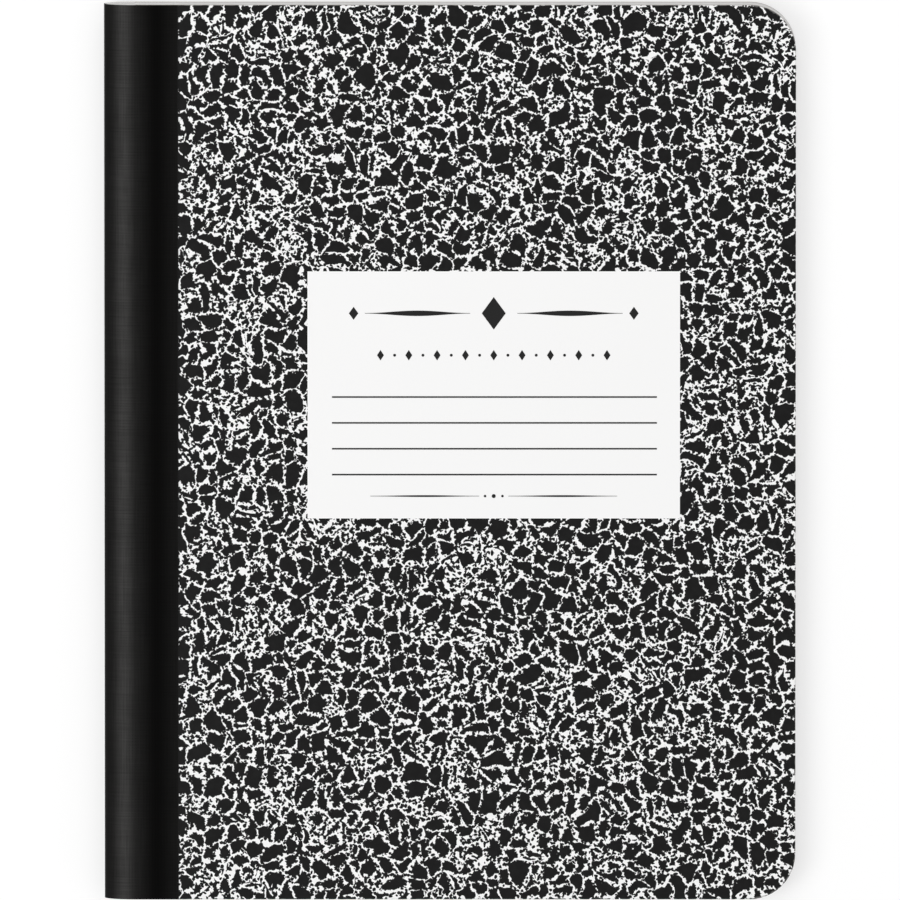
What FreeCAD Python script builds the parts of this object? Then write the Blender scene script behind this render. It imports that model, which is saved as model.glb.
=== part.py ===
import FreeCAD, Part
import math
import os

import Sketcher
from FreeCAD import Vector

# A composition notebook, closed and lying on its back cover.
# X runs from the spine to the fore edge, Y from the tail to the head and Z up
# from the surface that it lies on. The origin is below the middle of the book.
# The folded sheets are sewn through their fold, and the fold stands in a rounded
# nose behind two shoulders. Each cover is a board with a printed paper outside
# and a leaf pasted inside, and it butts against its shoulder. A cloth tape wraps
# the nose and reaches over both covers, and it bends on the two hinge lines where
# the nose begins.

# Driving dimensions in millimetres, apart from the counts.
DRIVING_SIZES = {
    # the trimmed book
    "book_width": 190.5,
    "book_height": 247.65,
    "corner_radius": 12.7,
    # the leaves
    "leaf_count": 100,
    "leaf_thickness": 0.082,
    # one cover, from the inside out
    "pastedown_thickness": 0.1,
    "board_thickness": 0.8,
    "cover_paper_thickness": 0.1,
    "board_gap": 0.3,
    # the spine
    "nose_depth": 8.5,
    "tape_thickness": 0.2,
    "tape_reach": 20.5,
    # the sewing
    "fold_depth": 4.8,
    "thread_diameter": 0.6,
    "thread_clearance": 0.05,
    "stitch_pitch": 12.7,
    "stitch_margin": 4.0,
    # the printed panel for the owner's name
    "panel_width": 102.6,
    "panel_height": 68.4,
    "panel_from_spine": 56.0,
    "panel_from_head": 73.6,
    "print_thickness": 0.05,
    # its writing lines
    "line_count": 4,
    "line_length": 89.5,
    "line_width": 0.42,
    "line_pitch": 7.16,
    "line_inset": 6.75,
    "first_line_drop": 34.56,
}

ORIGIN_POINT = (-1, 1)
X_AXIS, Y_AXIS = -1, -2
START, END, CENTRE = 1, 2, 3


class Formula:
    """A size worked out from the driving cells: its formula, and what that comes to."""

    def __init__(self, text, value):
        self.text = text
        self.value = value

    def __add__(self, other):
        return Formula(f"({self.text} + {other.text})", self.value + other.value)

    def __sub__(self, other):
        return Formula(f"({self.text} - {other.text})", self.value - other.value)

    def __mul__(self, other):
        return Formula(f"({self.text} * {other.text})", self.value * other.value)

    def __truediv__(self, number):
        return Formula(f"({self.text} / {number})", self.value / number)

    def __neg__(self):
        return Formula(f"(-{self.text})", -self.value)

    def twice(self):
        return Formula(f"(2 * {self.text})", 2 * self.value)

    def copies_over(self, span):
        """How many copies, this far apart, fit in a span."""
        count = math.floor(span.value / self.value) + 1
        return Formula(f"(floor({span.text} / {self.text}) + 1)", count)


class Sizes:
    """The driving sheet and every size that follows from it."""

    def __init__(self, doc):
        sheet = doc.addObject("Spreadsheet::Sheet", "Sizes")
        for row, (name, value) in enumerate(DRIVING_SIZES.items(), start=1):
            sheet.set(f"A{row}", name.replace("_", " "))
            sheet.set(f"B{row}", str(value))
            sheet.setAlias(f"B{row}", name)
            setattr(self, name, Formula(f"Sizes.{name}", value))
        doc.recompute()

        self.fore_edge = self.book_width / 2
        self.spine_edge = -self.fore_edge
        self.head = self.book_height / 2
        self.hinge_line = self.spine_edge + self.nose_depth
        self.board_edge = self.hinge_line + self.board_gap
        self.tape_edge = self.spine_edge + self.tape_reach

        # heights above and below the middle of the closed book
        self.half_block = self.leaf_count * self.leaf_thickness / 2
        self.pasted = self.half_block + self.pastedown_thickness
        self.boarded = self.pasted + self.board_thickness
        self.half_nose = self.boarded + self.cover_paper_thickness
        self.half_book = self.half_nose + self.tape_thickness

        # the sewing runs in two channels, outside and inside the fold
        self.thread_radius = self.thread_diameter / 2
        self.channel_radius = self.thread_radius + self.thread_clearance
        self.fold_tip = self.spine_edge + self.tape_thickness
        self.outer_channel = self.fold_tip + self.channel_radius
        self.gutter = self.fold_tip + self.fold_depth
        self.half_stitch = (self.gutter - self.outer_channel) / 2
        span = self.book_height - self.stitch_margin.twice()
        self.stitch_count = self.stitch_pitch.copies_over(span)
        spaces = self.stitch_count - Formula("1", 1)
        self.stitch_run = self.stitch_pitch * spaces
        self.first_stitch = -(self.stitch_run / 2)

        # the printed panel
        self.panel_left = self.spine_edge + self.panel_from_spine
        self.panel_right = self.panel_left + self.panel_width
        self.panel_top = self.head - self.panel_from_head
        self.panel_bottom = self.panel_top - self.panel_height
        self.line_left = self.panel_left + self.line_inset
        self.line_right = self.line_left + self.line_length
        self.first_line_top = self.panel_top - self.first_line_drop
        self.first_line_bottom = self.first_line_top - self.line_width
        self.line_run = self.line_pitch * (self.line_count - Formula("1", 1))


def new_body(doc, label, height, across=None):
    """A sub-part whose own frame stands at this height, and this far along X."""
    body = doc.addObject("PartDesign::Body", label)
    body.Label = label
    body.Placement = FreeCAD.Placement(
        Vector(across.value if across else 0, 0, height.value), FreeCAD.Rotation())
    body.setExpression("Placement.Base.z", height.text)
    if across:
        body.setExpression("Placement.Base.x", across.text)
    return body


def origin_feature(body, role):
    """The body's own origin plane or axis with this role."""
    return next(item for item in body.Origin.OriginFeatures if item.Role == role)


def new_sketch(body, name, role, offset=None):
    """A sketch on one of the body's origin planes, or this far along its normal."""
    sketch = body.newObject("Sketcher::SketchObject", f"{body.Label}_{name}")
    sketch.AttachmentSupport = [(origin_feature(body, role), "")]
    sketch.MapMode = "FlatFace"
    if offset:
        sketch.AttachmentOffset.Base.z = offset.value
        sketch.setExpression("AttachmentOffset.Base.z", offset.text)
    return sketch


def bind(sketch, kind, *places, name, size):
    """Adds one dimension to a sketch and ties it to its formula."""
    index = sketch.addConstraint(Sketcher.Constraint(kind, *places, size.value))
    sketch.renameConstraint(index, name)
    sketch.setExpression(f"Constraints.{name}", size.text)


def bind_point(sketch, geometry, point, name, x=None, y=None):
    """Ties a point of a sketch to its distances from the sketch's origin."""
    if x:
        bind(sketch, "DistanceX", *ORIGIN_POINT, geometry, point, name=f"{name}_x", size=x)
    if y:
        bind(sketch, "DistanceY", *ORIGIN_POINT, geometry, point, name=f"{name}_y", size=y)


def draw_rectangle(sketch, left, right, bottom, top):
    """A rectangle between four sizes measured from the sketch's origin."""
    corners = [Vector(left.value, bottom.value, 0), Vector(right.value, bottom.value, 0),
               Vector(right.value, top.value, 0), Vector(left.value, top.value, 0)]
    sides = [Part.LineSegment(corners[i], corners[(i + 1) % 4]) for i in range(4)]
    tail, fore, head, spine = sketch.addGeometry(sides)
    for side, following in ((tail, fore), (fore, head), (head, spine), (spine, tail)):
        sketch.addConstraint(Sketcher.Constraint("Coincident", side, END, following, START))
    for side in (tail, head):
        sketch.addConstraint(Sketcher.Constraint("Horizontal", side))
    for side in (fore, spine):
        sketch.addConstraint(Sketcher.Constraint("Vertical", side))
    bind_point(sketch, tail, START, "near_corner", x=left, y=bottom)
    bind_point(sketch, head, START, "far_corner", x=right, y=top)


def draw_leaf(sketch, sizes, spine_side):
    """The trimmed leaf: square at the spine, round at both corners of the fore edge."""
    left, right = spine_side.value, sizes.fore_edge.value
    top, radius = sizes.head.value, sizes.corner_radius.value
    up = Vector(0, 0, 1)
    inner_x, inner_y = right - radius, top - radius
    tail_corner = Part.Circle(Vector(inner_x, -inner_y, 0), up, radius)
    head_corner = Part.Circle(Vector(inner_x, inner_y, 0), up, radius)
    tail, tail_arc, fore, head_arc, head, spine = sketch.addGeometry([
        Part.LineSegment(Vector(left, -top, 0), Vector(inner_x, -top, 0)),
        Part.ArcOfCircle(tail_corner, -math.pi / 2, 0),
        Part.LineSegment(Vector(right, -inner_y, 0), Vector(right, inner_y, 0)),
        Part.ArcOfCircle(head_corner, 0, math.pi / 2),
        Part.LineSegment(Vector(inner_x, top, 0), Vector(left, top, 0)),
        Part.LineSegment(Vector(left, top, 0), Vector(left, -top, 0)),
    ])
    for side, following in ((tail, tail_arc), (tail_arc, fore), (fore, head_arc),
                            (head_arc, head)):
        sketch.addConstraint(Sketcher.Constraint("Tangent", side, END, following, START))
    for side, following in ((head, spine), (spine, tail)):
        sketch.addConstraint(Sketcher.Constraint("Coincident", side, END, following, START))
    sketch.addConstraint(Sketcher.Constraint("Horizontal", tail))
    sketch.addConstraint(Sketcher.Constraint("Vertical", fore))
    sketch.addConstraint(Sketcher.Constraint("Equal", tail_arc, head_arc))
    sketch.addConstraint(
        Sketcher.Constraint("Symmetric", tail, START, head, END, X_AXIS))
    bind(sketch, "Radius", tail_arc, name="corner", size=sizes.corner_radius)
    bind(sketch, "DistanceY", tail, START, head, END, name="height", size=sizes.book_height)
    bind_point(sketch, tail, START, "spine_side", x=spine_side)
    bind_point(sketch, fore, START, "fore_edge", x=sizes.fore_edge)


def draw_half_ellipse(sketch, name, middle, depth, half_height):
    """Half an ellipse that bulges towards the spine from a line across the book."""
    ellipse = Part.Ellipse(Vector(middle.value - depth.value, 0, 0),
                           Vector(middle.value, half_height.value, 0),
                           Vector(middle.value, 0, 0))
    curve = sketch.addGeometry(Part.ArcOfEllipse(ellipse, -math.pi / 2, math.pi / 2))
    sketch.exposeInternalGeometry(curve)
    long_axis, short_axis = curve + 1, curve + 2
    sketch.addConstraint(Sketcher.Constraint("PointOnObject", curve, CENTRE, X_AXIS))
    sketch.addConstraint(Sketcher.Constraint("Horizontal", long_axis))
    for end in (START, END):
        sketch.addConstraint(Sketcher.Constraint("Vertical", curve, end, curve, CENTRE))
    bind_point(sketch, curve, CENTRE, f"{name}_middle", x=middle)
    bind(sketch, "Distance", long_axis, name=f"{name}_depth", size=depth.twice())
    bind(sketch, "Distance", short_axis, name=f"{name}_height", size=half_height.twice())
    return curve


def join_ends(sketch, first, first_end, second, second_end):
    """A straight line between the ends of two curves."""
    line = sketch.addGeometry(Part.LineSegment(
        sketch.getPoint(first, first_end), sketch.getPoint(second, second_end)))
    sketch.addConstraint(Sketcher.Constraint("Coincident", line, START, first, first_end))
    sketch.addConstraint(Sketcher.Constraint("Coincident", line, END, second, second_end))


def draw_circle(sketch, radius, x=None, y=None):
    """A circle on one of the sketch's axes, or at its origin."""
    middle = Vector(x.value if x else 0, y.value if y else 0, 0)
    circle = sketch.addGeometry(Part.Circle(middle, Vector(0, 0, 1), radius.value))
    bind(sketch, "Radius", circle, name="radius", size=radius)
    if x:
        sketch.addConstraint(Sketcher.Constraint("PointOnObject", circle, CENTRE, X_AXIS))
    elif y:
        sketch.addConstraint(Sketcher.Constraint("PointOnObject", circle, CENTRE, Y_AXIS))
    else:
        sketch.addConstraint(
            Sketcher.Constraint("Coincident", circle, CENTRE, *ORIGIN_POINT))
    bind_point(sketch, circle, CENTRE, "middle", x=x, y=y)


def pad(body, sketch, length, both_ways=False):
    """Adds material along the sketch's normal, or both ways from it."""
    feature = body.newObject("PartDesign::Pad", f"{sketch.Label}_pad")
    feature.Profile = sketch
    feature.Length = length.value
    feature.setExpression("Length", length.text)
    if both_ways:
        feature.SideType = "Symmetric"
    body.Tip = feature
    return feature


def pocket(body, sketch, length, both_ways=False):
    """Cuts against the sketch's normal, or both ways from it, and proves that it cut."""
    body.Document.recompute()
    before = body.Shape.Volume
    feature = body.newObject("PartDesign::Pocket", f"{sketch.Label}_pocket")
    feature.Profile = sketch
    feature.Length = length.value
    feature.setExpression("Length", length.text)
    if both_ways:
        feature.SideType = "Symmetric"
    body.Tip = feature
    body.Document.recompute()
    if body.Shape.Volume >= before:
        raise RuntimeError(f"{feature.Label} cuts nothing")
    return feature


def repeat(body, feature, sketch, axis, run, count, backwards=False):
    """Repeats a feature along one of its sketch's axes, evenly over a run."""
    pattern = body.newObject("PartDesign::LinearPattern", f"{feature.Label}_row")
    pattern.Originals = [feature]
    pattern.Direction = (sketch, [axis])
    pattern.Reversed = backwards
    pattern.Length = run.value
    pattern.setExpression("Length", run.text)
    pattern.Occurrences = int(count.value)
    pattern.setExpression("Occurrences", count.text)
    body.Tip = pattern
    return pattern


def make_page_block(doc, sizes):
    """The sewn leaves: a flat block with a swollen, rounded fold behind two shoulders."""
    body = new_body(doc, "page_block", sizes.half_book)

    leaves = new_sketch(body, "leaves", "XY_Plane")
    draw_leaf(leaves, sizes, sizes.hinge_line)
    pad(body, leaves, sizes.half_block.twice(), both_ways=True)

    fold = new_sketch(body, "fold", "XZ_Plane")
    nose = draw_half_ellipse(fold, "nose", sizes.hinge_line,
                             sizes.nose_depth - sizes.tape_thickness, sizes.half_nose)
    join_ends(fold, nose, END, nose, START)
    pad(body, fold, sizes.book_height, both_ways=True)

    # the needle thread lies in a slot along the outside of the fold
    slot = new_sketch(body, "slot", "XZ_Plane")
    draw_slot(slot, sizes)
    pocket(body, slot, sizes.book_height, both_ways=True)

    # the bobbin thread lies in the gutter of the innermost sheet
    gutter = new_sketch(body, "gutter", "XZ_Plane")
    draw_circle(gutter, sizes.channel_radius, x=sizes.gutter)
    pocket(body, gutter, sizes.book_height, both_ways=True)

    # the needle holes join the two channels
    hole = new_sketch(body, "needle_hole", "YZ_Plane", offset=sizes.gutter)
    draw_circle(hole, sizes.channel_radius, x=sizes.first_stitch)
    first = pocket(body, hole, sizes.half_stitch.twice())
    repeat(body, first, hole, "H_Axis", sizes.stitch_run, sizes.stitch_count)
    return body


def draw_slot(sketch, sizes):
    """A round-bottomed slot, open towards the tape, that holds the needle thread."""
    middle, radius = sizes.outer_channel, sizes.channel_radius
    mouth = sizes.spine_edge
    circle = Part.Circle(Vector(middle.value, 0, 0), Vector(0, 0, 1), radius.value)
    low, high = Vector(middle.value, -radius.value, 0), Vector(middle.value, radius.value, 0)
    low_mouth = Vector(mouth.value, low.y, 0)
    high_mouth = Vector(mouth.value, high.y, 0)
    bottom, upper, opening, lower = sketch.addGeometry([
        Part.ArcOfCircle(circle, -math.pi / 2, math.pi / 2),
        Part.LineSegment(high, high_mouth),
        Part.LineSegment(high_mouth, low_mouth),
        Part.LineSegment(low_mouth, low),
    ])
    for side, following in ((bottom, upper), (lower, bottom)):
        sketch.addConstraint(Sketcher.Constraint("Tangent", side, END, following, START))
    for side, following in ((upper, opening), (opening, lower)):
        sketch.addConstraint(Sketcher.Constraint("Coincident", side, END, following, START))
    sketch.addConstraint(Sketcher.Constraint("PointOnObject", bottom, CENTRE, X_AXIS))
    sketch.addConstraint(Sketcher.Constraint("Horizontal", upper))
    sketch.addConstraint(Sketcher.Constraint("Horizontal", lower))
    sketch.addConstraint(Sketcher.Constraint("Vertical", opening))
    bind(sketch, "Radius", bottom, name="radius", size=radius)
    bind_point(sketch, bottom, CENTRE, "thread", x=middle)
    bind_point(sketch, opening, START, "mouth", x=mouth)


def make_thread(doc, sizes, label, across, towards_fore_edge):
    """One thread of the lockstitch: a run beside the fold, with a loop into each hole."""
    body = new_body(doc, label, sizes.half_book, across=across)
    run = new_sketch(body, "run", "XZ_Plane")
    draw_circle(run, sizes.thread_radius)
    pad(body, run, sizes.book_height, both_ways=True)

    loop = new_sketch(body, "loop", "YZ_Plane")
    draw_circle(loop, sizes.thread_radius, x=sizes.first_stitch)
    first = pad(body, loop, sizes.half_stitch)
    first.Reversed = not towards_fore_edge
    repeat(body, first, loop, "H_Axis", sizes.stitch_run, sizes.stitch_count)
    return body


def make_spine_tape(doc, sizes):
    """The stretch of the tape that wraps the nose, from one hinge line to the other."""
    body = new_body(doc, "spine_tape", sizes.half_book)
    wrap = new_sketch(body, "wrap", "XZ_Plane")
    outer = draw_half_ellipse(wrap, "outer", sizes.hinge_line, sizes.nose_depth,
                              sizes.half_book)
    inner = draw_half_ellipse(wrap, "inner", sizes.hinge_line,
                              sizes.nose_depth - sizes.tape_thickness, sizes.half_nose)
    join_ends(wrap, outer, START, inner, START)
    join_ends(wrap, outer, END, inner, END)
    pad(body, wrap, sizes.book_height, both_ways=True)
    return body


def make_sheet(doc, sizes, label, thickness, base):
    """A sheet of one cover, trimmed with the leaves and set back from the shoulder."""
    body = new_body(doc, label, base)
    outline = new_sketch(body, "outline", "XY_Plane")
    draw_leaf(outline, sizes, sizes.board_edge)
    pad(body, outline, thickness)
    return body


def make_tape_wing(doc, sizes, label, base):
    """The stretch of the tape that is glued over one cover."""
    body = new_body(doc, label, base)
    strip = new_sketch(body, "strip", "XY_Plane")
    draw_rectangle(strip, sizes.hinge_line, sizes.tape_edge, -sizes.head, sizes.head)
    pad(body, strip, sizes.tape_thickness)
    return body


def make_front_cover(doc, sizes):
    """The upper cover, with the printed panel on it."""
    middle = sizes.half_book
    return [
        make_sheet(doc, sizes, "front_pastedown", sizes.pastedown_thickness,
                   middle + sizes.half_block),
        make_sheet(doc, sizes, "front_board", sizes.board_thickness,
                   middle + sizes.pasted),
        make_sheet(doc, sizes, "front_cover_paper", sizes.cover_paper_thickness,
                   middle + sizes.boarded),
        make_tape_wing(doc, sizes, "front_tape_wing", middle + sizes.half_nose),
        make_title_panel(doc, sizes, middle + sizes.half_nose),
        make_writing_lines(doc, sizes, middle + sizes.half_nose + sizes.print_thickness),
    ]


def make_back_cover(doc, sizes):
    """The lower cover, which the book lies on."""
    middle = sizes.half_book
    return [
        make_sheet(doc, sizes, "back_pastedown", sizes.pastedown_thickness,
                   middle - sizes.pasted),
        make_sheet(doc, sizes, "back_board", sizes.board_thickness,
                   middle - sizes.boarded),
        make_sheet(doc, sizes, "back_cover_paper", sizes.cover_paper_thickness,
                   middle - sizes.half_nose),
        make_tape_wing(doc, sizes, "back_tape_wing", middle - sizes.half_book),
    ]


def make_title_panel(doc, sizes, base):
    """The plain field that is left for the owner's name, as thick as a film of ink."""
    body = new_body(doc, "title_panel", base)
    field = new_sketch(body, "field", "XY_Plane")
    draw_rectangle(field, sizes.panel_left, sizes.panel_right,
                   sizes.panel_bottom, sizes.panel_top)
    pad(body, field, sizes.print_thickness)
    return body


def make_writing_lines(doc, sizes, base):
    """The lines to write on, one below the other on the panel."""
    body = new_body(doc, "writing_lines", base)
    line = new_sketch(body, "line", "XY_Plane")
    draw_rectangle(line, sizes.line_left, sizes.line_right,
                   sizes.first_line_bottom, sizes.first_line_top)
    first = pad(body, line, sizes.print_thickness)
    repeat(body, first, line, "V_Axis", sizes.line_run, sizes.line_count, backwards=True)
    return body


def check(doc, bodies):
    """Stops with a plain message where an object failed or a shape isn't sound."""
    for item in doc.Objects:
        if "Invalid" in item.State or "Error" in item.State:
            raise RuntimeError(f"{item.Label} failed: {item.State}")
    for body in bodies:
        if body.Shape.isNull() or not body.Shape.isValid() or not body.Shape.Solids:
            raise RuntimeError(f"{body.Label} has no sound shape")


def main():
    doc = FreeCAD.newDocument("composition_notebook")
    sizes = Sizes(doc)
    bodies = [
        make_page_block(doc, sizes),
        make_thread(doc, sizes, "needle_thread", sizes.outer_channel, True),
        make_thread(doc, sizes, "bobbin_thread", sizes.gutter, False),
        make_spine_tape(doc, sizes),
    ]
    bodies += make_front_cover(doc, sizes)
    bodies += make_back_cover(doc, sizes)
    doc.recompute()
    check(doc, bodies)

    os.makedirs("parts", exist_ok=True)
    for body in bodies:
        body.Shape.exportStep(f"parts/{body.Label}.step")
        box = body.Shape.BoundBox
        print(f"{body.Label}: {len(body.Shape.Solids)} solids, {body.Shape.Volume:.1f} mm3,"
              f" z {box.ZMin:.3f} to {box.ZMax:.3f}, x {box.XMin:.3f} to {box.XMax:.3f}")


main()
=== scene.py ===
"""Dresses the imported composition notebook: leaves, tape, marbled covers, panel and studio.

Lengths are in millimetres unless a name says otherwise. Meshes are made in metres, in the
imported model's frame: the spine lies toward -X, the head toward +Y, and the back cover is down.
"""

import logging
import math
import random
from dataclasses import dataclass
from enum import Enum
from typing import Sequence

import bmesh
import bpy
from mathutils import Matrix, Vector


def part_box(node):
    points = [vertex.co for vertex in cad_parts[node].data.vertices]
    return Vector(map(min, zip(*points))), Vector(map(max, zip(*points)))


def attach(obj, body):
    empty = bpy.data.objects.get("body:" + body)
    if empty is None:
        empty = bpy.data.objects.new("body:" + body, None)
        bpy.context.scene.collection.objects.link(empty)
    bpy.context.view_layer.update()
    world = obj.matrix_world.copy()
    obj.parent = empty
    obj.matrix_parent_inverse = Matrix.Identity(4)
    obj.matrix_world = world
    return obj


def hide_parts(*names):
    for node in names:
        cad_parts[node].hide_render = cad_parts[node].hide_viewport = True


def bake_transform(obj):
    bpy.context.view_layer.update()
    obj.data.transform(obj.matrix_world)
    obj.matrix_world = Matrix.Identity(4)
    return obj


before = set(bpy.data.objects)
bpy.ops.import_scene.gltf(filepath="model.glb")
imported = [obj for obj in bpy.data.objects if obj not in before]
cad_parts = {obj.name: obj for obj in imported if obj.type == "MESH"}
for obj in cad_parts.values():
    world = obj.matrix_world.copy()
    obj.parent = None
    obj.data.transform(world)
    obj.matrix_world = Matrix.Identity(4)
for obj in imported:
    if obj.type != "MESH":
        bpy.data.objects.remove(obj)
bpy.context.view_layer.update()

log = logging.getLogger("notebook")

MM = 0.001
BAKE_MAP = "OFBake"
CLOTH_MAP = "cloth"
LEAF_MAP = "leaves"
CORNER_RADIUS = 12.7

Point = tuple[float, float, float]
Place = tuple[float, float]
Region = tuple[float, float, float, float]
Span = tuple[float, float]
# What goes into a socket: another socket, a number, a vector or a colour
Feed = object


# Shader building

class SocketKind(Enum):
    """The kinds of socket that an effect has."""

    NUMBER = "NodeSocketFloat"
    PLACE = "NodeSocketVector"


@dataclass(frozen=True)
class Port:
    """One named socket of an effect, with its usual value."""

    name: str
    kind: SocketKind = SocketKind.NUMBER
    value: float = 0.0


class Tree:
    """A shader tree that is filled from left to right."""

    def __init__(self, nodes: bpy.types.NodeTree) -> None:
        """Wraps a node tree."""
        self.nodes = nodes
        self.count = 0

    def add(self, kind: str, **settings: object) -> bpy.types.Node:
        """Adds one node.

        Args:
            kind: The node's type, or its end after "ShaderNode".
            **settings: Values of the node's own properties.

        Returns:
            The new node.
        """
        full = kind if kind.startswith("Node") else f"ShaderNode{kind}"
        node = self.nodes.nodes.new(full)
        for name, value in settings.items():
            setattr(node, name, value)
        node.location = (180.0 * (self.count // 4), -220.0 * (self.count % 4))
        self.count += 1
        return node

    def feed(self, socket: bpy.types.NodeSocket, value: Feed) -> None:
        """Links a socket to another, or sets its value."""
        if isinstance(value, bpy.types.NodeSocket):
            self.nodes.links.new(value, socket)
        else:
            socket.default_value = value

    def math(self, operation: str, *values: Feed) -> bpy.types.NodeSocket:
        """Gives the result of one operation on numbers."""
        node = self.add("Math", operation=operation)
        for socket, value in zip(node.inputs, values):
            self.feed(socket, value)
        return node.outputs[0]

    def gap(self, first: Feed, second: Feed) -> bpy.types.NodeSocket:
        """Gives how far apart two numbers are."""
        return self.math("ABSOLUTE", self.math("SUBTRACT", first, second))

    def weigh(self, first: Feed, second: Feed, share: float) -> bpy.types.NodeSocket:
        """Adds two numbers, of which the first counts for its share and the second for the rest."""
        return self.math("ADD", self.math("MULTIPLY", first, share),
                         self.math("MULTIPLY", second, 1.0 - share))

    def vector(self, operation: str, *values: Feed, scale: Feed = None) -> bpy.types.NodeSocket:
        """Gives the result of one operation on vectors, a number for a length."""
        node = self.add("VectorMath", operation=operation)
        for socket, value in zip(node.inputs, values):
            self.feed(socket, value)
        if scale is not None:
            self.feed(node.inputs["Scale"], scale)
        return node.outputs["Value" if operation == "LENGTH" else "Vector"]

    def split(self, place: Feed) -> bpy.types.NodeOutputs:
        """Gives a vector's X, Y and Z."""
        node = self.add("SeparateXYZ")
        self.feed(node.inputs[0], place)
        return node.outputs

    def join(self, x: Feed = 0.0, y: Feed = 0.0, z: Feed = 0.0) -> bpy.types.NodeSocket:
        """Makes a vector of three numbers."""
        node = self.add("CombineXYZ")
        for socket, value in zip(node.inputs, (x, y, z)):
            self.feed(socket, value)
        return node.outputs[0]

    def ramp(self, value: Feed, low: Feed, high: Feed, start: Feed = 0.0,
             end: Feed = 1.0) -> bpy.types.NodeSocket:
        """Turns a value's stretch from low to high into a soft step from start to end."""
        node = self.add("MapRange", interpolation_type="SMOOTHSTEP")
        for socket, number in zip(node.inputs, (value, low, high, start, end)):
            self.feed(socket, number)
        return node.outputs[0]

    def mix(self, share: Feed, first: Feed, second: Feed) -> bpy.types.NodeSocket:
        """Mixes two colours."""
        node = self.add("Mix", data_type="RGBA")
        for name, value in (("Factor", share), ("A", first), ("B", second)):
            socket = next(s for s in node.inputs if s.name == name and s.enabled)
            self.feed(socket, value)
        return next(s for s in node.outputs if s.enabled)

    def noise(self, place: Feed, size: float, detail: float = 0.0,
              shift: Point = (0.0, 0.0, 0.0), flat: bool = False,
              roughness: float = 0.5) -> bpy.types.Node:
        """Adds noise whose lumps are about as wide as size."""
        node = self.add("TexNoise", noise_dimensions="2D" if flat else "3D")
        self.feed(node.inputs["Roughness"], roughness)
        self.feed(node.inputs["Vector"], self.vector("ADD", place, shift))
        self.feed(node.inputs["Scale"], 1.0 / size)
        self.feed(node.inputs["Detail"], detail)
        return node

    def cells(self, place: Feed, size: float, feature: str,
              shift: Point = (0.0, 0.0, 0.0)) -> bpy.types.Node:
        """Adds flat cells about as wide as size."""
        node = self.add("TexVoronoi", voronoi_dimensions="2D", feature=feature)
        self.feed(node.inputs["Vector"], self.vector("ADD", place, shift))
        self.feed(node.inputs["Scale"], 1.0 / size)
        return node

    def seen(self) -> bpy.types.NodeSocket:
        """Gives 1 to rays that show a surface to the camera, straight or by way of another piece."""
        rays = self.add("LightPath").outputs
        return self.math("MAXIMUM", rays["Is Camera Ray"],
                         self.math("MAXIMUM", rays["Is Glossy Ray"], rays["Is Transmission Ray"]))

    def effect(self, effect: "Effect", **values: Feed) -> bpy.types.NodeOutputs:
        """Places an effect's group and gives its outputs."""
        node = self.add("Group", node_tree=effect.group())
        for name, value in values.items():
            self.feed(node.inputs[name], value)
        return node.outputs


class Effect:
    """A look that materials share, kept as one shader node group with named sockets."""

    title: str
    inputs: tuple[Port, ...]
    outputs: tuple[Port, ...]

    def group(self) -> bpy.types.NodeTree:
        """Gives the effect's node group, which is built on first use."""
        known = bpy.data.node_groups.get(self.title)
        if known:
            return known
        group = bpy.data.node_groups.new(self.title, "ShaderNodeTree")
        for ports, way in ((self.inputs, "INPUT"), (self.outputs, "OUTPUT")):
            for port in ports:
                socket = group.interface.new_socket(
                    name=port.name, in_out=way, socket_type=port.kind.value)
                if way == "INPUT" and port.kind is SocketKind.NUMBER:
                    socket.default_value = port.value
        tree = Tree(group)
        given = tree.add("NodeGroupInput").outputs
        taken = tree.add("NodeGroupOutput").inputs
        for name, value in self.draw(tree, given).items():
            tree.feed(taken[name], value)
        return group

    def draw(self, tree: Tree, given: bpy.types.NodeOutputs) -> dict[str, Feed]:
        """Draws the effect's nodes.

        Args:
            tree: The group's tree.
            given: The group's inputs.

        Returns:
            The value of each output, by its name.
        """
        raise NotImplementedError


class PaperFibres(Effect):
    """Short fibres and cloudy patches of paper and board."""

    title = "paper fibres"
    inputs = (Port("Place", SocketKind.PLACE), Port("Fibre", value=0.25), Port("Cloud", value=9.0))
    outputs = (Port("Tone"), Port("Height"))
    turns_and_shifts = ((0.6, 3.0), (2.2, 71.0))
    fibre_stretch = (1.0, 0.22, 1.0)
    fibre_share = 0.6

    def draw(self, tree: Tree, given: bpy.types.NodeOutputs) -> dict[str, Feed]:
        """Draws fibres in two directions over wide clouds."""
        place = given["Place"]
        layers = []
        for turn, shift in self.turns_and_shifts:
            turned = tree.add("VectorRotate", rotation_type="Z_AXIS")
            tree.feed(turned.inputs["Vector"], place)
            tree.feed(turned.inputs["Angle"], turn)
            fine = tree.vector("MULTIPLY", turned.outputs[0], self.fibre_stretch)
            fine = tree.vector("SCALE", fine, scale=tree.math("DIVIDE", 1.0, given["Fibre"]))
            layers.append(tree.noise(fine, 1.0, 2.0, (shift, shift, 0.0)).outputs[0])
        fibres = tree.math("MAXIMUM", *layers)
        wide = tree.vector("SCALE", place, scale=tree.math("DIVIDE", 1.0, given["Cloud"]))
        cloud = tree.noise(wide, 1.0, 3.0).outputs[0]
        return {"Tone": tree.weigh(fibres, cloud, self.fibre_share), "Height": fibres}


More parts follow.
